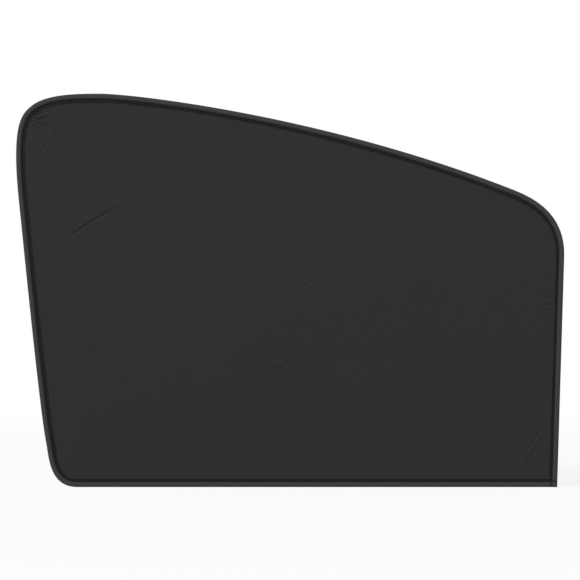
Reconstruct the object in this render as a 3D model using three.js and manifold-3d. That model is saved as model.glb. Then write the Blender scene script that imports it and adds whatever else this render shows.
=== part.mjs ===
// Car side window sunshade: a panel of cloth held taut by a hidden hoop of spring wire.
// A folded tape is swept round the edge. It holds the wire and eight bar magnets, and it is sewn
// to the cloth along its inner strip. The two ends of the tape cross at the one square corner.
// Millimetres. X runs along the bottom edge, Y through the thickness and Z up. The origin is the
// middle of the bottom edge, and the face that looks along -Y is the one seen from inside the car.

import * as THREE from 'three';
import { mergeVertices } from 'three/addons/utils/BufferGeometryUtils.js';
import Module from 'manifold-3d';

const wasm = await Module();
wasm.setup();

// Outline of the outer edge. The square corner is the zero of x and z, and x is negative to the
// left. Knots on the left are placed from the left edge and knots near the top from the top edge.
// A heading is the direction of travel in degrees, with 90 straight up, on the way from the
// square corner along the bottom, up the left side, over the top and down the right side.
const LEFT_REACH = 691;
const HEIGHT = 502.5;
const FOOT_START = { fromLeft: 78, reachOut: 36 };
const FOOT = { fromLeft: 38, z: 58, heading: 101, reachIn: 20, reachOut: 45 };
const LEFT_SIDE = { fromLeft: 3.5, fromTop: 138.5, heading: 96, reachIn: 48, reachOut: 102 };
const SHOULDER = { fromLeft: 19, fromTop: 16, heading: 40, reachIn: 15, reachOut: 24 };
const CREST = { fromLeft: 107, reachIn: 32, reachOut: 41 };
const BROW = { fromRight: 58, fromTop: 122, heading: -21.5, reachIn: 257, reachOut: 24 };
const RIGHT_RUN = { fromTop: 208.5, lean: 1.75, reachIn: 59 };

// Thicknesses and sections
const CLEARANCE = 0.3;
const TAPE_THICKNESS = 0.4;
const SEAM_STRIP_WIDTH = 4.2;
const CLOTH_THICKNESS = 0.4;
const CLOTH_TUCK = 0.4;
const WIRE_DIAMETER = 1.6;
const WIRE_CORNER_RADIUS = 5;
const WIRE_END_GAP = 1;
const FERRULE_WALL = 0.4;
const FERRULE_LENGTH = 20;
const FERRULE_CHAMFER = 0.15;
const FERRULE_FROM_CORNER = 120;
const FERRULE_DRIFT = 60;
const MAGNET_LENGTH = 20;
const MAGNET_THICKNESS = 3;
const MAGNET_WIDTH = 2;
const LAP_GROOVE_WIDTH = 1.4;
const LAP_JOINT_FROM_CORNER = 32;

// Where the magnets lie, as a share of each side's own length in the direction of travel
const TOP_MAGNET_PLACES = [0.06, 0.35, 0.65, 0.95];
const LEFT_MAGNET_PLACES = [0.3, 0.85];
const RIGHT_MAGNET_PLACES = [0.2, 0.75];

// How finely curves are divided
const CHORD_ERROR = 0.1;
const LONGEST_STEP = 160;
const DRIFT_STEP = 12;
const FOLD_SEGMENTS = 4;
const WIRE_SEGMENTS = 4;
const WIRE_CORNER_STEPS = 6;
const FERRULE_SEGMENTS = 16;

// Sizes that follow from the ones above
const wireRadius = WIRE_DIAMETER / 2;
const ferruleBore = wireRadius + CLEARANCE;
const ferruleRadius = ferruleBore + FERRULE_WALL;
const channelHalf = Math.max(MAGNET_THICKNESS / 2, ferruleRadius) + CLEARANCE;
const bulgeHalf = channelHalf + TAPE_THICKNESS;
const slotHalf = CLOTH_THICKNESS / 2 + CLEARANCE;
const stripHalf = slotHalf + TAPE_THICKNESS;
const wireInset = TAPE_THICKNESS + CLEARANCE + wireRadius;
const ferruleInset = TAPE_THICKNESS + CLEARANCE + ferruleRadius;
const magnetInset = wireInset + wireRadius + CLEARANCE;
const magnetMiddle = magnetInset + MAGNET_WIDTH / 2;
// A 45 degree ramp joins the full bulge to the thin seam strip. The inner face of the tape turns
// a little earlier than the outer one, so that the tape keeps its thickness round both bends.
const rampShift = TAPE_THICKNESS * Math.tan(Math.PI / 8);
const channelShelf = magnetInset + MAGNET_WIDTH + CLEARANCE;
const bulgeShelf = channelShelf + rampShift;
const bulgeWidth = bulgeShelf + bulgeHalf - stripHalf;
const foldedWidth = bulgeWidth + SEAM_STRIP_WIDTH;
const clothInset = bulgeWidth - CLOTH_TUCK;

/** Unit vector of a heading given in degrees. */
function direction(heading) {
  const angle = THREE.MathUtils.degToRad(heading);
  return new THREE.Vector2(Math.cos(angle), Math.sin(angle));
}

/** Smooth curve from one knot to the next, leaving and arriving along their headings. */
function curveBetween(from, to) {
  const leave = from.point.clone().addScaledVector(direction(from.heading), from.reachOut);
  const arrive = to.point.clone().addScaledVector(direction(to.heading), -to.reachIn);
  return new THREE.CubicBezierCurve(from.point, leave, arrive, to.point);
}

/** The runs of the outer edge in the order of travel, starting and ending at the corner. */
function outlineRuns() {
  const at = (x, z) => new THREE.Vector2(x, z);
  const fromLeft = (knot) => knot.fromLeft - LEFT_REACH;
  const fromTop = (knot) => HEIGHT - knot.fromTop;
  const corner = at(0, 0);
  const footStart = { ...FOOT_START, point: at(fromLeft(FOOT_START), 0), heading: 180 };
  const foot = { ...FOOT, point: at(fromLeft(FOOT), FOOT.z) };
  const leftSide = { ...LEFT_SIDE, point: at(fromLeft(LEFT_SIDE), fromTop(LEFT_SIDE)) };
  const shoulder = { ...SHOULDER, point: at(fromLeft(SHOULDER), fromTop(SHOULDER)) };
  const crest = { ...CREST, point: at(fromLeft(CREST), HEIGHT), heading: 0 };
  const brow = { ...BROW, point: at(-BROW.fromRight, fromTop(BROW)) };
  const rightHeight = fromTop(RIGHT_RUN);
  const rightX = rightHeight * Math.tan(THREE.MathUtils.degToRad(RIGHT_RUN.lean));
  const rightTop = { ...RIGHT_RUN, point: at(rightX, rightHeight), heading: -90 - RIGHT_RUN.lean };
  return {
    bottom: new THREE.LineCurve(corner, footStart.point),
    foot: curveBetween(footStart, foot),
    left: curveBetween(foot, leftSide),
    shoulder: curveBetween(leftSide, shoulder),
    crest: curveBetween(shoulder, crest),
    top: curveBetween(crest, brow),
    brow: curveBetween(brow, rightTop),
    right: new THREE.LineCurve(rightTop.point, corner),
  };
}

/** A place on the edge: its point, its direction of travel and the way to the inside. */
function stationAt(curve, t) {
  const point = curve.getPoint(t);
  const tangent = curve.getTangent(t).normalize();
  return { point, tangent, inward: new THREE.Vector2(tangent.y, -tangent.x) };
}

/** Parameters that halve a stretch of a curve until each chord lies close enough to it. */
function splits(curve, from = 0, to = 1) {
  const middle = (from + to) / 2;
  const start = curve.getPoint(from);
  const chord = curve.getPoint(to).sub(start);
  const bow = Math.abs(chord.clone().normalize().cross(curve.getPoint(middle).sub(start)));
  if (chord.length() <= LONGEST_STEP && bow <= CHORD_ERROR) {
    return [to];
  }
  return [...splits(curve, from, middle), ...splits(curve, middle, to)];
}

/** Stations along runs that follow on each other, both ends included. */
function stationsOf(curves) {
  const along = curves.flatMap((curve) => splits(curve).map((t) => stationAt(curve, t)));
  return [stationAt(curves[0], 0), ...along];
}

/** The same place moved inwards, square to the edge. */
function setIn(station, amount) {
  return { ...station, point: station.point.clone().addScaledVector(station.inward, amount) };
}

/** A flat path through stations that a section is swept along, upright at each of them. */
class EdgePath extends THREE.Curve {
  constructor(stations) {
    super();
    this.stations = stations;
  }

  stationNear(u) {
    return this.stations[Math.round(u * (this.stations.length - 1))];
  }

  getPointAt(u, target = new THREE.Vector3()) {
    const { point } = this.stationNear(u);
    return target.set(point.x, 0, point.y);
  }

  computeFrenetFrames(segments) {
    const tangents = [];
    const normals = [];
    const binormals = [];
    for (let i = 0; i <= segments; i += 1) {
      const { tangent, inward } = this.stationNear(i / segments);
      tangents.push(new THREE.Vector3(tangent.x, 0, tangent.y));
      normals.push(new THREE.Vector3(inward.x, 0, inward.y));
      binormals.push(new THREE.Vector3(0, 1, 0));
    }
    return { tangents, normals, binormals };
  }
}

/** A section, inward along its x and through the thickness along its y, swept along stations. */
function sweep(section, stations, curveSegments = FOLD_SEGMENTS) {
  return new THREE.ExtrudeGeometry(section, {
    steps: stations.length - 1,
    extrudePath: new EdgePath(stations),
    curveSegments,
  });
}

/** Outer form of the folded tape: round fold, flat bulge, ramp and thin seam strip. */
function tapeSection(raise = 0) {
  const bulge = bulgeHalf + raise;
  const strip = stripHalf + raise;
  const section = new THREE.Shape();
  section.moveTo(foldedWidth, -strip);
  section.lineTo(foldedWidth, strip);
  section.lineTo(bulgeWidth, strip);
  section.lineTo(bulgeShelf, bulge);
  section.lineTo(bulgeHalf, bulge);
  section.absellipse(bulgeHalf, 0, bulgeHalf, bulge, Math.PI / 2, 3 * Math.PI / 2);
  section.lineTo(bulgeShelf, -bulge);
  section.lineTo(bulgeWidth, -strip);
  return section;
}

/** The channel inside the tape, open along the inner edge where the cloth comes in. */
function channelSection() {
  const mouth = foldedWidth + CLEARANCE;
  const rampEnd = bulgeWidth - rampShift;
  const section = new THREE.Shape();
  section.moveTo(mouth, -slotHalf);
  section.lineTo(mouth, slotHalf);
  section.lineTo(rampEnd, slotHalf);
  section.lineTo(channelShelf, channelHalf);
  section.lineTo(bulgeHalf, channelHalf);
  section.absarc(bulgeHalf, 0, channelHalf, Math.PI / 2, 3 * Math.PI / 2);
  section.lineTo(channelShelf, -channelHalf);
  section.lineTo(rampEnd, -slotHalf);
  return section;
}

/** A closed geometry as a solid that can be joined and cut. */
function toSolid(geometry) {
  const bare = geometry.clone();
  bare.deleteAttribute('normal');
  bare.deleteAttribute('uv');
  const merged = mergeVertices(bare);
  return new wasm.Manifold(new wasm.Mesh({
    numProp: 3,
    vertProperties: new Float32Array(merged.attributes.position.array),
    triVerts: new Uint32Array(merged.index.array),
  }));
}

/** A joined or cut solid as a geometry again. */
function toGeometry(solid) {
  const { vertProperties, triVerts } = solid.getMesh();
  const geometry = new THREE.BufferGeometry();
  geometry.setAttribute('position', new THREE.BufferAttribute(vertProperties, 3));
  geometry.setIndex(new THREE.BufferAttribute(triVerts, 1));
  geometry.computeVertexNormals();
  return geometry;
}

/** The place on one of the two straight runs that lies a distance away from the corner. */
function fromCorner(run, distance) {
  const share = distance / run.getLength();
  return stationAt(run, run.v1.length() > 0 ? 1 - share : share);
}

/** Sections swept along lists of stations, joined into one solid. */
function joinedSweeps(section, lists) {
  return lists.map((list) => toSolid(sweep(section, list))).reduce((sum, solid) => sum.add(solid));
}

/** Shallow grooves where the stitches of one side run on over the lapped end of the other. */
function lapGrooves({ bottom, right }) {
  const past = foldedWidth + CLEARANCE;
  const lists = [
    [fromCorner(bottom, -CLEARANCE), fromCorner(bottom, past)],
    [fromCorner(right, past), fromCorner(right, -CLEARANCE)],
  ];
  const above = bulgeHalf + TAPE_THICKNESS + CLEARANCE;
  const faces = [1, -1].map((face) => {
    const section = new THREE.Shape();
    section.moveTo(bulgeWidth, face * bulgeHalf);
    section.lineTo(bulgeWidth + LAP_GROOVE_WIDTH, face * bulgeHalf);
    section.lineTo(bulgeWidth + LAP_GROOVE_WIDTH, face * above);
    section.lineTo(bulgeWidth, face * above);
    return joinedSweeps(section, lists);
  });
  return faces[0].add(faces[1]);
}

/** The tape: one sweep from the corner round to the right side, a second one down to the corner
 * and the thicker lap of the two ends, less the channel inside and the grooves of the lap. */
function bindingGeometry(runs) {
  const { bottom, right } = runs;
  const joint = fromCorner(right, LAP_JOINT_FROM_CORNER);
  const above = stationsOf(Object.values(runs).slice(0, -1));
  const down = stationsOf([right]).slice(1);
  const beforeJoint = down.filter(({ point }) => point.y > joint.point.y + foldedWidth);
  const round = [...above.slice(1), ...beforeJoint, joint];

  const tape = joinedSweeps(tapeSection(), [
    [fromCorner(bottom, 0), ...round],
    [joint, fromCorner(right, 0)],
  ]);
  const lap = joinedSweeps(tapeSection(TAPE_THICKNESS), [
    [fromCorner(bottom, 0), fromCorner(bottom, foldedWidth)],
    [fromCorner(right, foldedWidth), fromCorner(right, 0)],
  ]);
  const channel = joinedSweeps(channelSection(), [
    [fromCorner(bottom, TAPE_THICKNESS), ...round],
    [joint, fromCorner(right, TAPE_THICKNESS)],
  ]);
  return toGeometry(tape.add(lap).subtract(lapGrooves(runs)).subtract(channel));
}

/** The point that lies the same distance inside both straight runs. */
function cornerInside(distance) {
  const lean = THREE.MathUtils.degToRad(RIGHT_RUN.lean);
  return new THREE.Vector2(-distance * (1 - Math.sin(lean)) / Math.cos(lean), distance);
}

/** The bend of the wire in the square corner, tangent to its lines along both straight runs. */
function wireCorner() {
  const centre = cornerInside(wireInset + WIRE_CORNER_RADIUS);
  const lean = THREE.MathUtils.degToRad(RIGHT_RUN.lean);
  const stations = [];
  for (let i = 0; i <= WIRE_CORNER_STEPS; i += 1) {
    const angle = THREE.MathUtils.lerp(-lean, -Math.PI / 2, i / WIRE_CORNER_STEPS);
    const outward = new THREE.Vector2(Math.cos(angle), Math.sin(angle));
    const point = centre.clone().addScaledVector(outward, WIRE_CORNER_RADIUS);
    const tangent = new THREE.Vector2(outward.y, -outward.x);
    stations.push({ point, tangent, inward: outward.negate() });
  }
  return stations;
}

/** The wire's line on the bottom run, a little further in where it enters the ferrule. */
function wireOnBottom(bottom, distance) {
  const pastFerrule = Math.abs(distance - FERRULE_FROM_CORNER) - FERRULE_LENGTH / 2;
  const away = THREE.MathUtils.smoothstep(pastFerrule, 0, FERRULE_DRIFT);
  return setIn(fromCorner(bottom, distance), THREE.MathUtils.lerp(ferruleInset, wireInset, away));
}

/** The spring wire: one hoop from inside the ferrule, right round, and back into it. */
function wireGeometry(runs) {
  const { bottom, right } = runs;
  const calm = FERRULE_LENGTH / 2 + FERRULE_DRIFT;
  const driftSteps = Math.ceil(calm / DRIFT_STEP);
  const leaving = [];
  const arriving = [];
  for (let i = 0; i <= driftSteps; i += 1) {
    const fromMiddle = THREE.MathUtils.lerp(WIRE_END_GAP / 2, calm, i / driftSteps);
    leaving.push(wireOnBottom(bottom, FERRULE_FROM_CORNER + fromMiddle));
    arriving.unshift(wireOnBottom(bottom, FERRULE_FROM_CORNER - fromMiddle));
  }
  const beyond = -(FERRULE_FROM_CORNER + calm + DRIFT_STEP);
  const rest = stationsOf([bottom]).filter(({ point }) => point.x < beyond);
  const curved = stationsOf(Object.values(runs).slice(1, -1)).slice(1);
  const down = stationsOf([right]).slice(1, -1);
  const free = [...rest, ...curved, ...down].map((station) => setIn(station, wireInset));
  const section = new THREE.Shape();
  section.absarc(0, 0, wireRadius, 0, 2 * Math.PI);
  return sweep(section, [...leaving, ...free, ...wireCorner(), ...arriving], WIRE_SEGMENTS);
}

/** The crimped tube that joins the two ends of the wire, with its outer ends chamfered. */
function ferruleGeometry() {
  const half = FERRULE_LENGTH / 2;
  const neck = ferruleRadius - FERRULE_CHAMFER;
  const profile = [
    new THREE.Vector2(ferruleBore, -half),
    new THREE.Vector2(neck, -half),
    new THREE.Vector2(ferruleRadius, -half + FERRULE_CHAMFER),
    new THREE.Vector2(ferruleRadius, half - FERRULE_CHAMFER),
    new THREE.Vector2(neck, half),
    new THREE.Vector2(ferruleBore, half),
    new THREE.Vector2(ferruleBore, -half),
  ];
  return new THREE.LatheGeometry(profile, FERRULE_SEGMENTS);
}

/** The cloth: the outline set in to where its edge is caught between the layers of the tape. */
function clothGeometry(runs) {
  const around = stationsOf(Object.values(runs)).slice(1, -1);
  const edge = around.map((station) => setIn(station, clothInset).point);
  const outline = new THREE.Shape([cornerInside(clothInset), ...edge]);
  const geometry = new THREE.ExtrudeGeometry(outline, { depth: CLOTH_THICKNESS, bevelEnabled: false });
  geometry.rotateX(Math.PI / 2);
  geometry.translate(0, CLOTH_THICKNESS / 2, 0);
  return geometry;
}

const clothFinish = { color: 0x303030, roughness: 0.85, metalness: 0 };
const tapeFinish = { color: 0x3b3b3b, roughness: 0.8, metalness: 0 };
const wireFinish = { color: 0x8f9296, roughness: 0.35, metalness: 1 };
const ferruleFinish = { color: 0xb4b6b8, roughness: 0.4, metalness: 1 };
const magnetFinish = { color: 0x9a9c9e, roughness: 0.3, metalness: 1 };

/** A named mesh with a material of its own. */
function piece(name, geometry, finish) {
  const mesh = new THREE.Mesh(geometry, new THREE.MeshStandardMaterial(finish));
  mesh.name = name;
  return mesh;
}

/** One side's bar magnets, each lying along the edge between the wire and the seam. */
function magnetsAlong(curve, side, places) {
  return places.map((place, index) => {
    const geometry = new THREE.BoxGeometry(MAGNET_LENGTH, MAGNET_THICKNESS, MAGNET_WIDTH);
    const magnet = piece(`magnet_${side}_${index + 1}`, geometry, magnetFinish);
    const { point, tangent } = setIn(stationAt(curve, curve.getUtoTmapping(place)), magnetMiddle);
    magnet.position.set(point.x, 0, point.y);
    magnet.rotation.y = -Math.atan2(tangent.y, tangent.x);
    return magnet;
  });
}

/** The whole sunshade, with its origin at the middle of the bottom edge. */
function buildShade() {
  const runs = outlineRuns();
  const ferrule = piece('wire_ferrule', ferruleGeometry(), ferruleFinish);
  ferrule.rotation.z = Math.PI / 2;
  ferrule.position.set(-FERRULE_FROM_CORNER, 0, ferruleInset);

  const shade = new THREE.Group();
  shade.add(
    piece('fabric_panel', clothGeometry(runs), clothFinish),
    piece('edge_binding', bindingGeometry(runs), tapeFinish),
    piece('spring_wire_hoop', wireGeometry(runs), wireFinish),
    ferrule,
    ...magnetsAlong(runs.top, 'top', TOP_MAGNET_PLACES),
    ...magnetsAlong(runs.left, 'left', LEFT_MAGNET_PLACES),
    ...magnetsAlong(runs.right, 'right', RIGHT_MAGNET_PLACES),
  );
  const reach = stationsOf(Object.values(runs)).map(({ point }) => point.x);
  shade.position.x = -(Math.min(...reach) + Math.max(...reach)) / 2;
  return shade;
}

export default buildShade();
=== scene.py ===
"""Looks of a car side window sunshade: black cloth held taut in a folded and sewn edge tape.

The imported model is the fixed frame. The cloth and the edge tape are made again here as fine
meshes, with wrinkles, a lapped corner and stitches, and the hidden steel gets its finishes.
The shade's sizes are in millimetres until its meshes are made, and the studio's are in metres.
"""
import logging
import math
from dataclasses import dataclass, field
from enum import Enum
from typing import Optional, Sequence

import bpy
import numpy as np
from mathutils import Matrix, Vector
from mathutils.geometry import delaunay_2d_cdt
from mathutils.kdtree import KDTree


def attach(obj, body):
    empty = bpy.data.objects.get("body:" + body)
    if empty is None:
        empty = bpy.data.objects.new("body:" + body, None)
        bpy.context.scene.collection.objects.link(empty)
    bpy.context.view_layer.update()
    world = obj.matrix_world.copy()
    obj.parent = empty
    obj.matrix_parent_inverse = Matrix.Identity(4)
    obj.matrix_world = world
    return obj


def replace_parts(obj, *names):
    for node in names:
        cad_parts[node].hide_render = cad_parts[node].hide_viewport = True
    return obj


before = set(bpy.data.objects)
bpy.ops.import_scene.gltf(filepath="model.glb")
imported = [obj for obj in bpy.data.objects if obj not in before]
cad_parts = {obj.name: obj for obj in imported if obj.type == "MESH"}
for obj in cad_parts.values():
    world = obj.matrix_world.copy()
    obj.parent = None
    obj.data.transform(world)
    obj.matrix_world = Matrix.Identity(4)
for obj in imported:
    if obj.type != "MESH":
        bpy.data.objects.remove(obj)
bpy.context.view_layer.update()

log = logging.getLogger("sunshade")

MM = 0.001
ROOT = "root"

Array = np.ndarray
Numbers = Array | float
Pair = tuple[float, float]
Socket = bpy.types.NodeSocket
Inputs = dict[str | int, object]


class Face(Enum):
    """The two faces of the shade, towards the viewer and towards the window, as a sign of Y."""

    FRONT = -1.0
    BACK = 1.0


class Slot(Enum):
    """The record's material slots for the cloth and the edge tape; nothing here reads them."""

    CLOTH = "cloth"
    TAPE = "edge_tape"


def smooth_step(value: Numbers, low: float, high: float) -> Numbers:
    """Rises smoothly from 0 to 1.

    Args:
        value: Where to look.
        low: Value at which the rise starts.
        high: Value at which it ends.

    Returns:
        The height of the step at each value.
    """
    share = np.clip((value - low) / (high - low), 0.0, 1.0)
    return share * share * (3.0 - 2.0 * share)


def bump(value: Numbers, middle: float, width: float) -> Numbers:
    """A round bump of height 1 at middle that falls off over width."""
    return np.exp(-(((value - middle) / width) ** 2))


def bezier(t: Array, *corners: Array) -> Array:
    """Finds points on a smooth curve.

    Args:
        t: Shares of the way along the curve, in one column.
        corners: The curve's start, its handles and its end.

    Returns:
        The points, one row for each share.
    """
    last = len(corners) - 1
    return sum(math.comb(last, k) * (1 - t) ** (last - k) * t ** k * corner
               for k, corner in enumerate(corners))


def add_object(name: str, data: bpy.types.ID) -> bpy.types.Object:
    """Links a new object at the origin.

    Args:
        name: The object's name.
        data: Its mesh, lamp or camera.

    Returns:
        The linked object.
    """
    item = bpy.data.objects.new(name, data)
    bpy.context.scene.collection.objects.link(item)
    return item


def make_piece(name: str, points: Array, edges: Sequence[Sequence[int]],
               faces: Sequence[Sequence[int]]) -> bpy.types.Object:
    """Makes a smooth mesh object at the origin.

    Args:
        name: The piece's name.
        points: Corners in millimetres, one row each.
        edges: Corner numbers of each loose edge.
        faces: Corner numbers of each face.

    Returns:
        The linked object.
    """
    mesh = bpy.data.meshes.new(name)
    mesh.from_pydata((points * MM).tolist(), edges, [list(face) for face in faces])
    mesh.shade_smooth()
    return add_object(name, mesh)


def apply_modifiers(piece: bpy.types.Object) -> None:
    """Turns a piece with its modifiers into a plain mesh.

    Args:
        piece: The object whose modifiers are applied and removed.
    """
    evaluated = piece.evaluated_get(bpy.context.evaluated_depsgraph_get())
    result = bpy.data.meshes.new_from_object(evaluated)
    piece.modifiers.clear()
    piece.data = result


@dataclass(frozen=True)
class Knot:
    """A point that the outline passes through, with its heading and the reach of its curves.

    A heading is in degrees, with 90 straight up. The reaches are the lengths of the curve's
    handles before and after the knot.
    """

    x: float
    z: float
    turn: float
    reach_in: float = 0.0
    reach_out: float = 0.0

    def point(self) -> Array:
        """The knot's place in the plane of the shade."""
        return np.array([self.x, self.z])

    def way(self) -> Array:
        """Unit vector of the direction of travel through the knot."""
        angle = math.radians(self.turn)
        return np.array([math.cos(angle), math.sin(angle)])


@dataclass(frozen=True)
class Trace:
    """Close stations round the outer edge, in the order of travel, in the shade's plane."""

    points: Array
    inward: Array
    along: Array

    BLUR_STATIONS = 13
    SHORTEST_STEP = 1e-6

    def set_in(self, amount: float) -> Array:
        """The stations moved inwards by an amount."""
        return self.points + self.inward * amount

    def left_over(self) -> Array:
        """The way that is left from each station to the end."""
        return self.along[-1] - self.along

    def bend(self, full_at: float) -> Array:
        """How much the edge bends at each station, as a share that is 1 at a tight radius.

        Args:
            full_at: Radius in millimetres at which the share reaches 1.

        Returns:
            A smoothed share from 0 to 1 at each station.
        """
        turns = np.linalg.norm(np.gradient(self.inward, axis=0), axis=1)
        steps = np.maximum(np.gradient(self.along), self.SHORTEST_STEP)
        share = np.clip(full_at * turns / steps, 0.0, 1.0)
        window = np.hanning(self.BLUR_STATIONS)
        return np.convolve(share, window / window.sum(), mode="same")


@dataclass(frozen=True)
class Outline:
    """The outer edge, from the square corner along the bottom, round and down the right side.

    Knots are placed from the left and top edges and from the square corner, which the middle
    shift moves to its place in the frame. Stations lie closer over the fine length at both
    ends, where the tape laps.
    """

    left_reach: float = 691.0
    height: float = 502.5
    right_height: float = 294.0
    right_lean: float = 1.75
    step: float = 3.0
    fine_step: float = 0.4
    fine_length: float = 18.0
    middle_shift: float = 341.09

    def knots(self) -> list[Knot]:
        """Places the knots.

        Returns:
            The knots in the order of travel, from the square corner back to it.
        """
        left = -self.left_reach
        top = self.height
        right = self.right_height * math.tan(math.radians(self.right_lean))
        down = -90.0 - self.right_lean
        return [
            Knot(0.0, 0.0, 180.0),
            Knot(left + 78.0, 0.0, 180.0, 0.0, 36.0),
            Knot(left + 38.0, 58.0, 101.0, 20.0, 45.0),
            Knot(left + 3.5, top - 138.5, 96.0, 48.0, 102.0),
            Knot(left + 19.0, top - 16.0, 40.0, 15.0, 24.0),
            Knot(left + 107.0, top, 0.0, 32.0, 41.0),
            Knot(-58.0, top - 122.0, -21.5, 257.0, 24.0),
            Knot(right, self.right_height, down, 59.0, 0.0),
            Knot(0.0, 0.0, down),
        ]

    def shares(self, span: float, first: bool, last: bool) -> Array:
        """Spreads the stations of one run, closer near the square corner.

        Args:
            span: Distance from the run's start to its end.
            first: Whether the run starts at the square corner.
            last: Whether it ends there.

        Returns:
            The stations' places as shares of the run. Only the last run has its end.
        """
        fine = np.arange(0.0, self.fine_length, self.fine_step) / span
        start = fine if first else np.array([0.0])
        end = 1.0 - fine[::-1] if last else np.array([1.0])
        count = max(3, round(span / self.step))
        between = np.linspace(start[-1], end[0], count)[1:-1]
        inside = np.concatenate([start, between])
        return np.concatenate([inside, end]) if last else inside

    def trace(self) -> Trace:
        """Spreads stations round the whole edge.

        Returns:
            The stations, in the frame's own place.
        """
        knots = self.knots()
        final = len(knots) - 2
        points, ways = [], []
        for index, (start, end) in enumerate(zip(knots, knots[1:])):
            a, d = start.point(), end.point()
            span = float(np.linalg.norm(d - a))
            straight = index in (0, final)
            b = a + start.way() * (span / 3.0 if straight else start.reach_out)
            c = d - end.way() * (span / 3.0 if straight else end.reach_in)
            t = self.shares(span, index == 0, index == final)[:, None]
            points.append(bezier(t, a, b, c, d))
            move = bezier(t, b - a, c - b, d - c)
            ways.append(move / np.linalg.norm(move, axis=1)[:, None])
        place = np.concatenate(points) + np.array([self.middle_shift, 0.0])
        way = np.concatenate(ways)
        steps = np.linalg.norm(np.diff(place, axis=0), axis=1)
        along = np.concatenate([[0.0], np.cumsum(steps)])
        return Trace(place, np.stack([way[:, 1], -way[:, 0]], axis=1), along)

    def corner_inside(self, distance: float) -> Array:
        """Finds the point that lies the same distance inside both runs of the square corner.

        Args:
            distance: How far inside both runs.

        Returns:
            The point in the shade's plane.
        """
        lean = math.radians(self.right_lean)
        across = distance * (1.0 - math.sin(lean)) / math.cos(lean)
        return np.array([self.middle_shift - across, distance])


class NodeTree:
    """Small helper that adds nodes to a tree and links them in one call."""

    def __init__(self, tree: bpy.types.NodeTree) -> None:
        """Keeps the tree that nodes are added to."""
        self.tree = tree

    def feed(self, node: bpy.types.Node, inputs: Inputs) -> None:
        """Links or sets some inputs of a node.

        Args:
            node: The node.
            inputs: Values to set, or sockets to link, by input name or number.
        """
        for key, value in inputs.items():
            if isinstance(value, Socket):
                self.tree.links.new(value, node.inputs[key])
            else:
                node.inputs[key].default_value = value

    def add(self, kind: str, inputs: Optional[Inputs] = None, **settings: object) -> bpy.types.Node:
        """Adds one node.

        Args:
            kind: The node's type name.
            inputs: Values, or sockets to link, by input name or number.
            settings: Properties of the node itself.

        Returns:
            The node.
        """
        node = self.tree.nodes.new(kind)
        for name, value in settings.items():
            setattr(node, name, value)
        self.feed(node, inputs or {})
        return node

    def math(self, operation: str, first: object, second: object = 0.0) -> Socket:
        """Adds a math node and returns its result."""
        return self.add("ShaderNodeMath", {0: first, 1: second}, operation=operation).outputs[0]

    def mix(self, share: object, first: object, second: object) -> Socket:
        """Adds a colour mix and returns its result."""
        inputs = {0: share, 6: first, 7: second}
        return self.add("ShaderNodeMix", inputs, data_type="RGBA").outputs[2]

    def shade(self, share: Socket, level: float, spread: float) -> Socket:
        """Adds a grey that varies round a level by a share of it, and returns its colour."""
        return self.mix(share, grey(level * (1.0 - spread)), grey(level * (1.0 + spread)))

    def place(self) -> Socket:
        """Adds coordinates in metres that are fixed on the object."""
        return self.add("ShaderNodeTexCoord").outputs["Object"]

    def noise(self, place: Socket, scale: float, detail: float = 2.0) -> Socket:
        """Adds a noise on some coordinates and returns its grey value."""
        inputs = {"Vector": place, "Scale": scale, "Detail": detail}
        return self.add("ShaderNodeTexNoise", inputs).outputs["Fac"]

    def wave(self, way: Socket, pitch: float) -> Socket:
        """Adds a sine with a pitch in millimetres along a coordinate in metres."""
        return self.math("SINE", self.math("MULTIPLY", way, math.tau / (pitch * MM)))

    def relief(self, height: object, depth: float, strength: float) -> Socket:
        """Adds a fine relief with a depth in millimetres and returns its normal."""
        inputs = {"Height": height, "Distance": depth * MM, "Strength": strength}
        return self.add("ShaderNodeBump", inputs).outputs["Normal"]


def grey(level: float) -> tuple[float, float, float, float]:
    """An opaque grey of a linear level."""
    return (level, level, level, 1.0)


def start_material(name: str) -> tuple[bpy.types.Material, NodeTree, bpy.types.Node]:
    """Makes a material with a bare principled shader.

    Args:
        name: The material's name.

    Returns:
        The material, its node helper and its shader node.
    """
    material = bpy.data.materials.new(name)
    material.use_nodes = True
    return material, NodeTree(material.node_tree), material.node_tree.nodes["Principled BSDF"]


@dataclass(frozen=True)
class ClothFinish:
    """Plain woven black polyester: matt, with a fine square weave and faint cloudy shading."""

    level: float = 0.0256
    cloudiness: float = 0.06
    cloud_scale: float = 9.0
    cloud_detail: float = 4.0
    cloud_share: float = 0.6
    fibre_scale: float = 900.0
    thread_pitch: float = 0.55
    weave_depth: float = 0.035
    weave_strength: float = 0.6
    roughness: float = 0.85
    gloss: float = 0.08
    sheen: float = 0.02
    sheen_roughness: float = 0.45

    def build(self) -> bpy.types.Material:
        """Makes the material on Object coordinates, so that the weave runs straight.

        Returns:
            The material.
        """
        material, nodes, shader = start_material("black woven cloth")
        place = nodes.place()
        axes = nodes.add("ShaderNodeSeparateXYZ", {0: place}).outputs
        warp = nodes.wave(axes["X"], self.thread_pitch)
        weft = nodes.wave(axes["Z"], self.thread_pitch)
        weave = nodes.math("MULTIPLY", warp, weft)
        cloud = nodes.noise(place, self.cloud_scale, self.cloud_detail)
        fibre = nodes.noise(place, self.fibre_scale)
        mottle = nodes.math("ADD", nodes.math("MULTIPLY", cloud, self.cloud_share),
                            nodes.math("MULTIPLY", fibre, 1.0 - self.cloud_share))
        nodes.feed(shader, {
            "Base Color": nodes.shade(mottle, self.level, self.cloudiness),
            "Normal": nodes.relief(weave, self.weave_depth, self.weave_strength),
            "Roughness": self.roughness,
            "Specular IOR Level": self.gloss,
            "Sheen Weight": self.sheen,
            "Sheen Roughness": self.sheen_roughness,
        })
        return material


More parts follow.
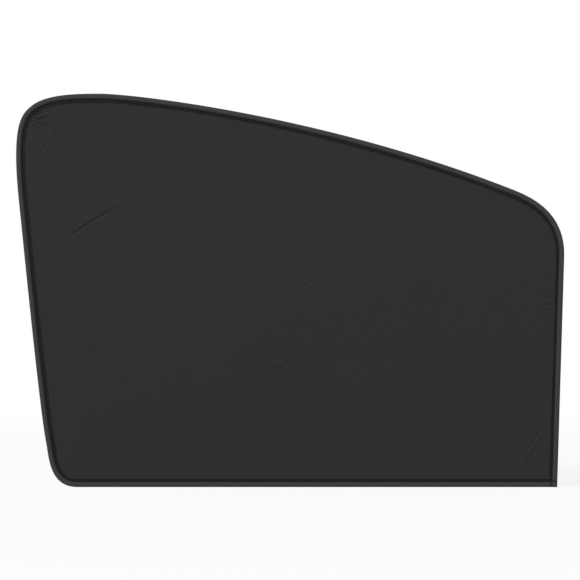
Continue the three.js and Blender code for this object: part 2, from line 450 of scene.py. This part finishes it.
@dataclass(frozen=True)
class TapeFinish:
    """Woven edge tape: its own grey on the bulge, and painted shade on the strip where it is sewn down."""

    level: float = 0.041
    level_spread: float = 0.12
    # The darker grey of the sewn strip is painted shade, for the shadow in the stitched valley
    seam_shade_level: float = 0.0073
    seam_shade_spread: float = 0.25
    fibre_scale: float = 350.0
    fibre_detail: float = 3.0
    rib_pitch: float = 0.7
    rib_depth: float = 0.05
    rib_strength: float = 0.5
    cross_ribs: float = 1.7
    cross_share: float = 0.5
    roughness: float = 0.75
    gloss: float = 0.1
    sheen: float = 0.04
    sheen_roughness: float = 0.4

    def build(self) -> bpy.types.Material:
        """Makes the material on the tape's own UV map and its attribute of painted seam shade.

        Returns:
            The material.
        """
        material, nodes, shader = start_material("black edge tape")
        flat = nodes.add("ShaderNodeUVMap", uv_map=EdgeTape.UV_NAME).outputs["UV"]
        seam = nodes.add("ShaderNodeAttribute", attribute_name=EdgeTape.SEAM_SHADE_NAME).outputs["Fac"]
        axes = nodes.add("ShaderNodeSeparateXYZ", {0: flat}).outputs
        ribs = nodes.wave(axes["X"], self.rib_pitch)
        cross = nodes.wave(axes["Y"], self.rib_pitch / self.cross_ribs)
        weave = nodes.math("ADD", ribs, nodes.math("MULTIPLY", cross, self.cross_share))
        fibre = nodes.noise(nodes.place(), self.fibre_scale, self.fibre_detail)
        light = nodes.shade(fibre, self.level, self.level_spread)
        # Painted shade: the dark grey that the seam attribute mixes in on the sewn strip
        dark = nodes.shade(fibre, self.seam_shade_level, self.seam_shade_spread)
        nodes.feed(shader, {
            "Base Color": nodes.mix(seam, light, dark),
            "Normal": nodes.relief(weave, self.rib_depth, self.rib_strength),
            "Roughness": self.roughness,
            "Specular IOR Level": self.gloss,
            "Sheen Weight": self.sheen,
            "Sheen Roughness": self.sheen_roughness,
        })
        return material


@dataclass(frozen=True)
class ThreadFinish:
    """Black sewing thread with a slight gloss and a twist."""

    level: float = 0.018
    level_spread: float = 0.3
    roughness: float = 0.5
    gloss: float = 0.2
    twist_scale: float = 1400.0
    twist_depth: float = 0.03
    twist_strength: float = 0.5

    def build(self) -> bpy.types.Material:
        """Makes the material with a fine twist in its relief.

        Returns:
            The material.
        """
        material, nodes, shader = start_material("black sewing thread")
        twist = nodes.noise(nodes.place(), self.twist_scale)
        nodes.feed(shader, {
            "Base Color": nodes.shade(twist, self.level, self.level_spread),
            "Normal": nodes.relief(twist, self.twist_depth, self.twist_strength),
            "Roughness": self.roughness,
            "Specular IOR Level": self.gloss,
        })
        return material


@dataclass(frozen=True)
class MetalFinish:
    """Bare or plated steel with fine drawn lines or a brushed grain."""

    name: str
    level: float
    roughness: float
    grain_scale: float
    grain_detail: float = 5.0
    grain_depth: float = 0.01
    grain_strength: float = 0.4
    level_spread: float = 0.1
    rough_spread: float = 0.1

    def build(self) -> bpy.types.Material:
        """Makes the material with its grain in the roughness and the relief.

        Returns:
            The material.
        """
        material, nodes, shader = start_material(self.name)
        grain = nodes.noise(nodes.place(), self.grain_scale, self.grain_detail)
        uneven = nodes.math("MULTIPLY", grain, 2.0 * self.rough_spread)
        nodes.feed(shader, {
            "Base Color": nodes.shade(grain, self.level, self.level_spread),
            "Roughness": nodes.math("ADD", uneven, self.roughness - self.rough_spread),
            "Normal": nodes.relief(grain, self.grain_depth, self.grain_strength),
            "Metallic": 1.0,
        })
        return material


@dataclass(frozen=True)
class TapeSection:
    """Half section of the folded tape: how high each face stands at a depth from the edge.

    Lines and pairs are depths. A pair gives where a change of height or of painted shade starts
    and where it ends.
    """

    tape: float = 0.4
    fold: float = 2.2
    width: float = 10.6
    bulge_half: float = 2.2
    bulge_width: float = 6.5
    crown: float = 0.1
    crown_line: float = 3.8
    crown_width: float = 1.5
    flank: Pair = (5.0, 6.8)
    strip_half: float = 0.86
    stitch_line: float = 8.5
    stitch_dip: float = 0.2
    stitch_width: float = 0.7
    crease_line: float = 7.3
    # Width of the painted line of shade along the crease over the lap
    crease_shade_width: float = 0.8
    lip: Pair = (9.7, 10.1)
    lip_rise: float = 0.22
    cut: Pair = (10.35, 10.75)
    cut_drop: float = 0.35
    gather_line: float = 6.0
    gather_loss: float = 0.6
    # Where the painted shade of the sewn strip starts and ends, and where it gives way over the lap
    seam_shade_start: Pair = (6.1, 6.6)
    seam_shade_end: Pair = (10.4, 10.6)
    seam_shade_lap: Pair = (6.0, 6.8)
    outer_counts: tuple[int, int] = (10, 30)
    inner_counts: tuple[int, int] = (6, 9)

    def fold_cap(self, depth: Numbers) -> Numbers:
        """Share of the full height that the round fold leaves at a depth from the edge."""
        left = np.clip(1.0 - depth / self.fold, 0.0, 1.0)
        return np.sqrt(1.0 - left * left)

    def height(self, depth: Numbers) -> Numbers:
        """Height of the outer face.

        Args:
            depth: Depth of each point from the edge.

        Returns:
            The height above the middle plane.
        """
        down = smooth_step(depth, *self.flank)
        top = self.bulge_half + self.crown * bump(depth, self.crown_line, self.crown_width)
        strip = self.strip_half - self.stitch_dip * bump(depth, self.stitch_line, self.stitch_width)
        lip = self.lip_rise * smooth_step(depth, *self.lip)
        end = smooth_step(depth, *self.cut) * self.cut_drop
        return self.fold_cap(depth) * (top + (strip - top) * down) + lip - end

    def gather(self, depth: Array) -> Array:
        """Share of a tight bend's puckers at a depth: none at the fold, all near the seam."""
        fading = 1.0 - self.gather_loss * smooth_step(depth, self.gather_line, self.width)
        return smooth_step(depth, self.fold, self.flank[0]) * fading

    def depths(self, start: float, on_fold: int, on_flat: int) -> Array:
        """Spreads the points of one face.

        Args:
            start: Depth at which the face's fold starts.
            on_fold: How many points the fold has.
            on_flat: How many points follow it.

        Returns:
            Their depths, from the fold to the inner edge.
        """
        angles = np.linspace(0.0, math.pi / 2, on_fold)[:-1]
        fold = self.fold - (self.fold - start) * np.cos(angles)
        return np.concatenate([fold, np.linspace(self.fold, self.width, on_flat)])

    def inner_height(self, depth: Array, outer: Array) -> Array:
        """Height of the inner face, one tape thickness inside the outer one.

        Args:
            depth: Depth of each point from the edge.
            outer: Height of the outer face above the same points.

        Returns:
            The height of the inner face above the middle plane.
        """
        left = np.clip((self.fold - depth) / (self.fold - self.tape), 0.0, 1.0)
        return np.sqrt(1.0 - left * left) * (outer - self.tape)


@dataclass
class EdgeTape:
    """The folded tape round the whole edge. Its second end wraps its first in the corner.

    Its section changes over the lap and in tight bends, which a curve's bevel can't follow,
    so it is swept from station to station here.
    """

    outline: Outline
    section: TapeSection = field(default_factory=TapeSection)
    finish: TapeFinish = field(default_factory=TapeFinish)
    first_end_back: float = 0.9
    lap_gap: float = 0.05
    lap_run: float = 3.0
    groove_depth: float = 0.45
    groove_width: float = 0.8
    pucker: float = 0.16
    pucker_pitch: float = 6.5
    tight_radius: float = 45.0
    sharp_angle: float = 50.0

    UV_NAME = "tape"
    # The seam attribute holds the share of painted shade on the sewn strip
    SEAM_SHADE_NAME = "seam"

    def rise(self, depth: Numbers, left_over: float) -> Numbers:
        """Height of the outer face, lifted over the first end where it laps it.

        Args:
            depth: Depth of each point from the edge.
            left_over: The way left from the station to the tape's second end.

        Returns:
            The height of the outer face above the middle plane.
        """
        section = self.section
        plain = section.height(depth)
        lap_end = section.width + self.lap_run
        if left_over > lap_end:
            return plain
        over = section.height(left_over) + section.tape + self.lap_gap
        reach = 1.0 - smooth_step(left_over, section.width, lap_end)
        lifted = np.maximum(plain, section.fold_cap(depth) * over)
        groove = bump(left_over, section.crease_line, self.groove_width)
        on_bulge = left_over < section.bulge_width
        seam = bump(depth, section.crease_line, self.groove_width) * on_bulge
        pressed = lifted - self.groove_depth * section.fold_cap(depth) * np.maximum(groove, seam)
        return plain + (pressed - plain) * reach

    def seam_shade_share(self, depth: Array, left_over: float, along: float) -> Array:
        """How much painted shade a point takes, from 0 to 1.

        Args:
            depth: Depth of each point from the edge.
            left_over: The way left from the station to the tape's second end.
            along: The way from the first end.

        Returns:
            The share of painted shade.
        """
        section = self.section
        # Painted shade: the sewn strip's shadow, and over the lap thin lines of shadow in the crease
        strip = smooth_step(depth, *section.seam_shade_start) * (1.0 - smooth_step(depth, *section.seam_shade_end))
        crease = bump(depth, section.crease_line, section.crease_shade_width)
        end = min(left_over, along)
        on_bulge = 1.0 - smooth_step(end, *section.seam_shade_lap)
        across = bump(end, section.crease_line, section.crease_shade_width)
        own = strip * (1.0 - on_bulge) + crease * on_bulge
        return np.maximum(own, across)

    def cross_section(self, left_over: float, wave: float) -> tuple[Array, Array]:
        """Draws the tape's closed section at one station.

        Args:
            left_over: The way left from the station to the tape's second end.
            wave: Height of the pucker at the station.

        Returns:
            Depth and height of each corner, round the outer face and back along the inner one.
        """
        section = self.section
        outer = section.depths(0.0, *section.outer_counts)
        inner = section.depths(section.tape, *section.inner_counts)
        top = self.rise(outer, left_over) + wave * section.gather(outer)
        above = self.rise(inner, left_over) + wave * section.gather(inner)
        under = section.inner_height(inner, above)
        depth = np.concatenate([outer[::-1], outer[1:], inner[::-1], inner[1:]])
        height = np.concatenate([-top[::-1], top[1:], under[::-1], -under[1:]])
        return depth, height

    def skin(self, rows: int, size: int) -> list[tuple[int, ...]]:
        """Joins the rings and closes both cut ends.

        Args:
            rows: How many rings there are.
            size: Corners in a ring.

        Returns:
            The corner numbers of each face.
        """
        faces = []
        for start in range(0, (rows - 1) * size, size):
            for column in range(size):
                after = (column + 1) % size
                faces.append((start + column, start + after,
                              start + size + after, start + size + column))
        last = (rows - 1) * size
        return faces + [tuple(range(size - 1, -1, -1)), tuple(range(last, last + size))]

    def build(self) -> bpy.types.Object:
        """Sweeps the section round the edge.

        Returns:
            The tape as one closed mesh with its UV map and its attribute of painted seam shade.
        """
        trace = self.outline.trace()
        keep = trace.along >= self.first_end_back
        along, left_over = trace.along[keep], trace.left_over()[keep]
        ripple = np.sin(trace.along * math.tau / self.pucker_pitch)
        waves = (self.pucker * trace.bend(self.tight_radius) * ripple)[keep]
        rings, seam_shades = [], []
        stations = zip(trace.points[keep], trace.inward[keep], along, left_over, waves)
        for (x, z), (inward_x, inward_z), way, left, wave in stations:
            depth, height = self.cross_section(left, wave)
            rings.append(np.stack([x + inward_x * depth, height, z + inward_z * depth], axis=1))
            seam_shades.append(self.seam_shade_share(depth, left, way))
        size = len(rings[0])
        piece = make_piece("edge_tape", np.concatenate(rings), [], self.skin(len(rings), size))
        self.add_flat_map(piece, np.concatenate(seam_shades), along, size)
        piece.data.set_sharp_from_angle(angle=math.radians(self.sharp_angle))
        piece.data.materials.append(self.finish.build())
        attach(piece, ROOT)
        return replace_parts(piece, "edge_binding")

    def add_flat_map(self, piece: bpy.types.Object, seam: Array, along: Array, size: int) -> None:
        """Stores the share of painted seam shade and a UV map in metres along and across the tape.

        Args:
            piece: The tape.
            seam: Share of painted seam shade at each corner.
            along: Way along the edge of each ring.
            size: Corners in a ring.
        """
        mesh = piece.data
        share = mesh.attributes.new(self.SEAM_SHADE_NAME, "FLOAT", "POINT")
        share.data.foreach_set("value", seam)
        corners = np.empty(len(mesh.loops), dtype=np.int64)
        mesh.loops.foreach_get("vertex_index", corners)
        ring = np.array([mesh.vertices[index].co for index in range(size)])
        across = np.concatenate([[0.0], np.cumsum(np.linalg.norm(np.diff(ring, axis=0), axis=1))])
        flat = np.stack([along[corners // size] * MM, across[corners % size]], axis=1)
        layer = mesh.uv_layers.new(name=self.UV_NAME)
        layer.data.foreach_set("uv", flat.ravel())


@dataclass(frozen=True)
class Wrinkle:
    """A soft ridge in the cloth along a bent line, given by its start, its bend and its end.

    A height below 0 makes a crease. A skew above 0 makes the flank on the right of the way
    from start to end gentler and the other one steeper. A shallow hollow runs beside the
    ridge, and its place, width and the ridge's reach are in widths of the ridge.
    """

    start: Pair
    bend: Pair
    end: Pair
    height: float = 0.3
    width: float = 2.6
    skew: float = 0.0

    PATH_POINTS = 28
    REACH = 4.0
    TAIL = 2.0
    END_SHARE = 0.06
    FADE_POWER = 0.7
    HOLLOW_DEPTH = 0.3
    HOLLOW_PLACE = 2.4
    HOLLOW_WIDTH = 1.6

    def path(self) -> Array:
        """Points along the ridge."""
        t = np.linspace(0.0, 1.0, self.PATH_POINTS)[:, None]
        return bezier(t, np.array(self.start), np.array(self.bend), np.array(self.end))

    def lift(self, places: Array) -> Array:
        """How far the cloth stands proud at each place.

        Args:
            places: Points in the shade's plane, one row each.

        Returns:
            The height of the ridge with the hollow beside it, in millimetres.
        """
        path = self.path()
        reach = self.REACH * self.width
        near = np.all((places > path.min(axis=0) - reach) & (places < path.max(axis=0) + reach), axis=1)
        offset = places[near][:, None, :] - path[None, :, :]
        closest = np.linalg.norm(offset, axis=2).argmin(axis=1)
        way = np.gradient(path, axis=0)
        way /= np.linalg.norm(way, axis=1)[:, None]
        way = way[closest]
        gap = offset[np.arange(len(closest)), closest]
        side = gap[:, 0] * way[:, 1] - gap[:, 1] * way[:, 0]
        beyond = np.abs((gap * way).sum(axis=1))
        share = closest / (len(path) - 1.0)
        arc = math.pi * (self.END_SHARE + (1.0 - 2.0 * self.END_SHARE) * share)
        fade = np.sin(arc) ** self.FADE_POWER * bump(beyond, 0.0, self.TAIL * self.width)
        width = self.width * (1.0 + self.skew * np.sign(side))
        hollow = bump(np.abs(side), self.HOLLOW_PLACE * self.width, self.HOLLOW_WIDTH * self.width)
        result = np.zeros(len(places))
        result[near] = self.height * fade * (bump(side, 0.0, width) - self.HOLLOW_DEPTH * hollow)
        return result


# The wrinkles where they lie on the real shade: at the upper left, in the middle, at the lower
# right, and then at both sides
WRINKLES = (
    Wrinkle((-333.5, 472.5), (-320, 471), (-307, 478), 1.5, 1.15),
    Wrinkle((-333, 471), (-322, 467), (-310, 463), 1.5, 1.1),
    Wrinkle((-332, 465.5), (-323, 462), (-313, 459), 0.7, 1.3),
    Wrinkle((-322, 479), (-305, 484), (-284, 484.5), 0.4, 1.6),
    Wrinkle((-299, 465), (-311, 443), (-333, 411), 0.6, 2.2),
    Wrinkle((-301, 453), (-311, 427), (-336, 397), 0.5, 2.2),
    Wrinkle((-326, 428), (-331, 421), (-337, 417), 0.4, 1.5),
    Wrinkle((-330, 441), (-334, 436), (-339, 433), 0.4, 1.4),
    Wrinkle((-280, 320), (-263, 337), (-213, 361), -1.1, 1.5, 0.45),
    Wrinkle((-291, 309), (-285, 316), (-276, 323), -0.4, 1.5, 0.3),
    Wrinkle((10, 249), (18, 259), (30, 265), -0.6, 1.4),
    Wrinkle((-24, 150), (-13, 151), (-2, 158), -0.8, 1.4, 0.3),
    Wrinkle((-44, 138), (-39, 140), (-33, 142), -0.5, 1.4),
    Wrinkle((27, 192), (38, 186), (47, 178), 0.2, 2.4),
    Wrinkle((328, 74), (311, 57), (293, 22), 0.7, 1.9),
    Wrinkle((318, 75), (306, 55), (298, 44), 0.5, 1.7),
    Wrinkle((322, 35), (311, 29), (300, 17), 0.55, 1.8),
    Wrinkle((324, 94), (319, 85), (313, 79), 0.35, 2),
    Wrinkle((254, 51), (240, 40), (226, 24), 0.45, 2.3),
    Wrinkle((-319, 342), (-325, 335), (-332, 329), 0.6, 1.6),
    Wrinkle((-311, 153), (-301, 142), (-289, 133), 0.4, 2),
    Wrinkle((-307, 101), (-297, 99), (-288, 90), 0.45, 1.6),
    Wrinkle((339, 274), (332, 271), (325, 274), 0.4, 1.6),
    Wrinkle((339, 238), (332, 236), (324, 237), 0.6, 1.5),
    Wrinkle((339, 230), (331, 228), (324, 228), 0.6, 1.5),
    Wrinkle((335, 185), (330, 189), (324, 194), 0.4, 1.7),
)


@dataclass
class ClothPanel:
    """The cloth, stretched inside the tape, with the faint wrinkles that the tension leaves.

    The slack gives broad shallow waves, the ripple follows the seam, and both fade out
    between the two distances of hold from the cloth's edge, where the tape grips it.
    """

    outline: Outline
    finish: ClothFinish = field(default_factory=ClothFinish)
    thickness: float = 0.4
    edge_inset: float = 5.97
    grid: float = 4.8
    fine_grid: float = 0.95
    fine_reach: float = 4.6
    slack: float = 0.5
    slack_across: float = 61.0
    slack_up: float = 57.0
    slack_phase: float = 0.8
    sway: float = 1.3
    sway_up: float = 83.0
    ripple: float = 0.09
    ripple_pitch: float = 14.0
    ripple_drift: float = 2.0
    ripple_beat: float = 7.3
    ripple_line: float = 5.5
    ripple_width: float = 5.0
    hold: Pair = (3.5, 7.5)
    wrinkles: tuple[Wrinkle, ...] = WRINKLES

    FILL_INSIDE = 1
    SAME_POINT = 1e-6
    LATTICE_DIGITS = 4

    def edge(self) -> Array:
        """Draws the cloth's own cut edge, caught between the layers of the tape.

        Returns:
            The corners of the edge, in the order of travel.
        """
        trace = self.outline.trace()
        near = 2 * self.edge_inset
        clear = (trace.along > near) & (trace.left_over() > near)
        corner = self.outline.corner_inside(self.edge_inset)
        return np.concatenate([[corner], trace.set_in(self.edge_inset)[clear]])

    def inside(self, places: Array, edge: Array) -> Array:
        """Tells which places lie inside the closed edge.

        Args:
            places: Points in the shade's plane.
            edge: Corners of the edge in order.

        Returns:
            True for each place that lies inside.
        """
        within = np.zeros(len(places), dtype=bool)
        for (x0, z0), (x1, z1) in zip(edge, np.roll(edge, -1, axis=0)):
            crosses = (z0 > places[:, 1]) != (z1 > places[:, 1])
            if z0 != z1:
                at = x0 + (places[:, 1] - z0) * (x1 - x0) / (z1 - z0)
                within ^= crosses & (places[:, 0] < at)
        return within

    def lattice(self, pitch: float, low: Array, high: Array) -> Array:
        """Fills a box with a lattice of even triangles that any other box continues.

        Args:
            pitch: Side of a triangle.
            low: Lowest corner of the box.
            high: Highest corner of the box.

        Returns:
            The lattice's points, one row each.
        """
        rise = pitch * math.sqrt(3.0) / 2.0
        row, column = np.meshgrid(np.arange(math.floor(low[1] / rise), math.ceil(high[1] / rise)),
                                  np.arange(math.floor(low[0] / pitch), math.ceil(high[0] / pitch)))
        return np.stack([(column + 0.5 * (row % 2)) * pitch, row * rise], axis=2).reshape(-1, 2)

    def nearest(self, places: Array, spots: Array) -> tuple[Array, Array]:
        """Finds the nearest of some spots to each place.

        Args:
            places: Points in the shade's plane.
            spots: The spots to measure to.

        Returns:
            The distance to the nearest spot and its number, for each place.
        """
        tree = KDTree(len(spots))
        for number, (x, z) in enumerate(spots):
            tree.insert((x, z, 0.0), number)
        tree.balance()
        found = [tree.find((x, z, 0.0)) for x, z in places]
        return np.array([hit[2] for hit in found]), np.array([hit[1] for hit in found])

    def height(self, places: Array, edge: Array) -> Array:
        """How far the cloth stands off its middle plane, towards the viewer.

        Args:
            places: Points in the shade's plane.
            edge: Stations of the cloth's edge.

        Returns:
            The height in millimetres, which fades out inside the tape.
        """
        x, z = places[:, 0], places[:, 1]
        distance, station = self.nearest(places, edge)
        across = np.sin(x / self.slack_across + self.sway * np.sin(z / self.sway_up))
        broad = across * np.cos(z / self.slack_up + self.slack_phase) * self.slack
        turn = station * self.outline.step * math.tau / self.ripple_pitch
        uneven = np.sin(turn + self.ripple_drift * np.sin(turn / self.ripple_beat))
        ripple = uneven * self.ripple * bump(distance, self.ripple_line, self.ripple_width)
        total = broad + ripple + sum(wrinkle.lift(places) for wrinkle in self.wrinkles)
        return total * smooth_step(distance, *self.hold)

    def spots(self, edge: Array) -> Array:
        """Spreads the cloth's points, closely along the wrinkles and widely elsewhere.

        Args:
            edge: Stations of the cloth's edge.

        Returns:
            The points inside the edge.
        """
        paths = [wrinkle.path() for wrinkle in self.wrinkles]
        ridges = np.concatenate(paths)
        reach = self.fine_reach
        boxes = [(path.min(axis=0) - reach, path.max(axis=0) + reach) for path in paths]
        close = np.concatenate([self.lattice(self.fine_grid, low, high) for low, high in boxes])
        fine = np.unique(close.round(self.LATTICE_DIGITS), axis=0)
        fine = fine[self.nearest(fine, ridges)[0] < reach]
        wide = self.lattice(self.grid, edge.min(axis=0), edge.max(axis=0))
        wide = wide[self.nearest(wide, ridges)[0] > reach + self.fine_grid]
        both = np.concatenate([wide, fine])
        both = both[self.inside(both, edge)]
        return both[self.nearest(both, edge)[0] > self.fine_grid]

    def build(self) -> bpy.types.Object:
        """Makes the cloth as one triangulated sheet with the thickness of the cloth.

        Returns:
            The cloth as one closed mesh.
        """
        edge = self.edge()
        places = np.concatenate([edge, self.spots(edge)])
        count = len(edge)
        loop = [(index, (index + 1) % count) for index in range(count)]
        vectors = [Vector((float(x), float(z))) for x, z in places]
        corners, _, faces, *_ = delaunay_2d_cdt(vectors, loop, [], self.FILL_INSIDE, self.SAME_POINT, False)
        flat = np.array([(corner.x, corner.y) for corner in corners])
        points = np.stack([flat[:, 0], -self.height(flat, edge), flat[:, 1]], axis=1)
        piece = make_piece("cloth_panel", points, [], faces)
        solidify = piece.modifiers.new("thickness", "SOLIDIFY")
        solidify.thickness = self.thickness * MM
        solidify.offset = 0.0
        apply_modifiers(piece)
        piece.data.materials.append(self.finish.build())
        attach(piece, ROOT)
        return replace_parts(piece, "fabric_panel")

    def flat_size(self) -> tuple[Pair, float]:
        """Measures the cloth as it was cut, laid flat.

        Returns:
            Its width and height, and its area, in metres.
        """
        edge = self.edge() * MM
        wide, high = edge.max(axis=0) - edge.min(axis=0)
        after = np.roll(edge, -1, axis=0)
        area = abs(float((edge[:, 0] * after[:, 1] - after[:, 0] * edge[:, 1]).sum())) / 2.0
        return (float(wide), float(high)), area


@dataclass
class SeamStitches:
    """A row of stitches on each face, along the middle of the sewn strip."""

    outline: Outline
    tape: EdgeTape
    finish: ThreadFinish = field(default_factory=ThreadFinish)
    pitch: float = 3.0
    length: float = 2.2
    radius: float = 0.22
    proud: float = 0.04
    segments: int = 8
    rings: int = 6

    def seam_line(self, side: Face) -> Array:
        """Draws the seam on one face, from one cut end of the tape to the other.

        Args:
            side: The face of the shade.

        Returns:
            The line's points, one row each.
        """
        trace = self.outline.trace()
        depth = self.tape.section.stitch_line
        keep = (trace.along > self.tape.first_end_back + self.length) & (trace.left_over() > self.length)
        spot = trace.set_in(depth)[keep]
        rises = np.array([self.tape.rise(depth, left) for left in trace.left_over()[keep]])
        return np.stack([spot[:, 0], side.value * (rises + self.proud), spot[:, 1]], axis=1)

    def tree(self) -> bpy.types.NodeTree:
        """Makes the geometry nodes that set stitches along the lines.

        Returns:
            The node group, with its sizes as named inputs.
        """
        group = bpy.data.node_groups.new("stitch row", "GeometryNodeTree")
        face = group.interface
        face.new_socket("Geometry", in_out="INPUT", socket_type="NodeSocketGeometry")
        for name in ("Pitch", "Length", "Radius"):
            face.new_socket(name, in_out="INPUT", socket_type="NodeSocketFloat")
        face.new_socket("Material", in_out="INPUT", socket_type="NodeSocketMaterial")
        face.new_socket("Geometry", in_out="OUTPUT", socket_type="NodeSocketGeometry")
        nodes = NodeTree(group)
        given = nodes.add("NodeGroupInput").outputs
        line = nodes.add("GeometryNodeMeshToCurve", {"Mesh": given["Geometry"]})
        spaced = nodes.add("GeometryNodeResampleCurve", {
            "Curve": line.outputs["Curve"], "Length": given["Pitch"]}, mode="LENGTH")
        ball = nodes.add("GeometryNodeMeshUVSphere", {
            "Segments": self.segments, "Rings": self.rings, "Radius": 1.0})
        size = nodes.add("ShaderNodeCombineXYZ", {
            "X": given["Radius"], "Y": given["Radius"], "Z": nodes.math("MULTIPLY", given["Length"], 0.5)})
        tangent = nodes.add("GeometryNodeInputTangent").outputs["Tangent"]
        turn = nodes.add("FunctionNodeAlignRotationToVector", {"Vector": tangent}, axis="Z")
        copies = nodes.add("GeometryNodeInstanceOnPoints", {
            "Points": spaced.outputs["Curve"], "Instance": ball.outputs["Mesh"],
            "Rotation": turn.outputs["Rotation"], "Scale": size.outputs["Vector"]})
        real = nodes.add("GeometryNodeRealizeInstances", {"Geometry": copies.outputs["Instances"]})
        smooth = nodes.add("GeometryNodeSetShadeSmooth", {"Geometry": real.outputs["Geometry"]})
        dressed = nodes.add("GeometryNodeSetMaterial", {
            "Geometry": smooth.outputs["Geometry"], "Material": given["Material"]})
        nodes.add("NodeGroupOutput", {"Geometry": dressed.outputs["Geometry"]})
        return group

    def build(self) -> bpy.types.Object:
        """Sets the stitches on both faces.

        Returns:
            All stitches as one plain mesh.
        """
        lines = [self.seam_line(side) for side in Face]
        count = len(lines[0])
        joins = [(start + index, start + index + 1) for start in (0, count) for index in range(count - 1)]
        piece = make_piece("seam_stitches", np.concatenate(lines), joins, [])
        modifier = piece.modifiers.new("stitches", "NODES")
        modifier.node_group = self.tree()
        values = {"Pitch": self.pitch * MM, "Length": self.length * MM, "Radius": self.radius * MM,
                  "Material": self.finish.build()}
        for item in modifier.node_group.interface.items_tree:
            if item.in_out == "INPUT" and item.name in values:
                modifier[item.identifier] = values[item.name]
        apply_modifiers(piece)
        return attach(piece, ROOT)


@dataclass
class HiddenSteel:
    """The wire hoop, its ferrule and the magnets inside the tape, which keep their own solids."""

    wire: MetalFinish = MetalFinish("drawn spring steel", 0.42, 0.35, 700.0)
    ferrule: MetalFinish = MetalFinish("crimped plated steel", 0.5, 0.4, 500.0)
    magnet: MetalFinish = MetalFinish("nickel plating", 0.55, 0.25, 300.0)

    def dress(self) -> None:
        """Gives every hidden piece its finish."""
        finishes = {"spring_wire_hoop": self.wire.build(), "wire_ferrule": self.ferrule.build()}
        plating = self.magnet.build()
        for name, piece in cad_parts.items():
            finish = plating if name.startswith("magnet_") else finishes.get(name)
            if finish is not None:
                piece.data.materials.clear()
                piece.data.materials.append(finish)


@dataclass(frozen=True)
class Lamp:
    """A soft square lamp."""

    name: str
    place: tuple[float, float, float]
    size: float
    power: float

    def build(self, target: Vector) -> None:
        """Sets the lamp up.

        Args:
            target: The point that it faces.
        """
        data = bpy.data.lights.new(self.name, "AREA")
        data.shape = "SQUARE"
        data.size = self.size
        data.energy = self.power
        lamp = add_object(self.name, data)
        lamp.location = self.place
        lamp.rotation_euler = (target - Vector(self.place)).to_track_quat("-Z", "Y").to_euler()


@dataclass
class Studio:
    """White floor and surroundings, soft lamps and a long lens straight in front.

    The floor's shadow is shown by a share that fades out between the two distances of its
    reach, so that the floor meets the background without a line.
    """

    distance: float = 2.778
    lens: float = 135.0
    sensor: float = 36.0
    look_at: tuple[float, float, float] = (-0.0002, 0.0, 0.2517)
    floor_drop: float = 0.0002
    floor_size: float = 14.0
    floor_level: float = 0.9
    floor_roughness: float = 0.9
    world_light: float = 0.22
    shadow_share: float = 0.13
    shadow_reach: Pair = (0.7, 1.9)
    lamps: tuple[Lamp, ...] = (
        Lamp("key lamp", (-9.6, -6.9, 10.2), 2.7, 1950.0),
        Lamp("fill lamp", (3.6, -5.6, 2.0), 3.5, 100.0),
    )

    def build(self) -> None:
        """Sets up camera, lamps, floor and world."""
        scene = bpy.context.scene
        scene.view_settings.view_transform = "Standard"
        target = Vector(self.look_at)
        data = bpy.data.cameras.new("camera")
        data.lens = self.lens
        data.sensor_width = self.sensor
        camera = add_object("camera", data)
        camera.location = target + Vector((0.0, -self.distance, 0.0))
        camera.rotation_euler = (math.pi / 2, 0.0, 0.0)
        scene.camera = camera
        for lamp in self.lamps:
            lamp.build(target)
        self.build_floor()
        self.build_world()

    def sees_white(self, nodes: NodeTree) -> Socket:
        """Tells rays that meet plain white from those that meet the floor's or world's light.

        Args:
            nodes: The tree that the nodes are added to.

        Returns:
            1 for rays from the camera and for what is seen in metal or glass, else 0.
        """
        path = nodes.add("ShaderNodeLightPath").outputs
        seen = nodes.math("MAXIMUM", path["Is Camera Ray"], path["Is Glossy Ray"])
        return nodes.math("MAXIMUM", seen, path["Is Transmission Ray"])

    def build_floor(self) -> None:
        """Lays a white floor that still takes a faint shadow."""
        half = self.floor_size / 2.0
        low = -self.floor_drop
        mesh = bpy.data.meshes.new("floor")
        mesh.from_pydata([(-half, -half, low), (half, -half, low), (half, half, low), (-half, half, low)],
                         [], [(0, 1, 2, 3)])
        floor = add_object("floor", mesh)
        material, nodes, shader = start_material("white floor")
        nodes.feed(shader, {"Base Color": grey(self.floor_level), "Roughness": self.floor_roughness})
        glow = nodes.add("ShaderNodeEmission", {"Color": grey(1.0), "Strength": 1.0})
        away = nodes.add("ShaderNodeVectorMath", {0: nodes.place()}, operation="LENGTH").outputs["Value"]
        near, far = self.shadow_reach
        fade = nodes.add("ShaderNodeMapRange", {
            "Value": away, "From Min": near, "From Max": far,
            "To Min": 1.0 - self.shadow_share, "To Max": 1.0}).outputs["Result"]
        share = nodes.math("MULTIPLY", self.sees_white(nodes), fade)
        both = nodes.add("ShaderNodeMixShader", {0: share, 1: shader.outputs[0], 2: glow.outputs[0]})
        nodes.feed(nodes.tree.nodes["Material Output"], {"Surface": both.outputs[0]})
        mesh.materials.append(material)

    def build_world(self) -> None:
        """Sets white surroundings for the camera, and a plain soft light for all other rays."""
        world = bpy.data.worlds.new("surroundings")
        bpy.context.scene.world = world
        world.use_nodes = True
        nodes = NodeTree(world.node_tree)
        added = nodes.math("MULTIPLY", self.sees_white(nodes), 1.0 - self.world_light)
        strength = nodes.math("ADD", added, self.world_light)
        nodes.feed(world.node_tree.nodes["Background"], {"Color": grey(1.0), "Strength": strength})


def main() -> None:
    """Builds the shade piece by piece, then the studio round it."""
    logging.basicConfig(level=logging.INFO, format="%(name)s: %(message)s")
    outline = Outline()
    tape_parts = EdgeTape(outline)
    tape = tape_parts.build()
    log.info("edge tape: %d faces", len(tape.data.polygons))
    panel = ClothPanel(outline)
    cloth = panel.build()
    log.info("cloth panel: %d faces", len(cloth.data.polygons))
    stitches = SeamStitches(outline, tape_parts).build()
    log.info("seam stitches: %d faces", len(stitches.data.polygons))
    HiddenSteel().dress()
    flat, area = panel.flat_size()
    Studio().build()


if __name__ == "__main__":
    main()
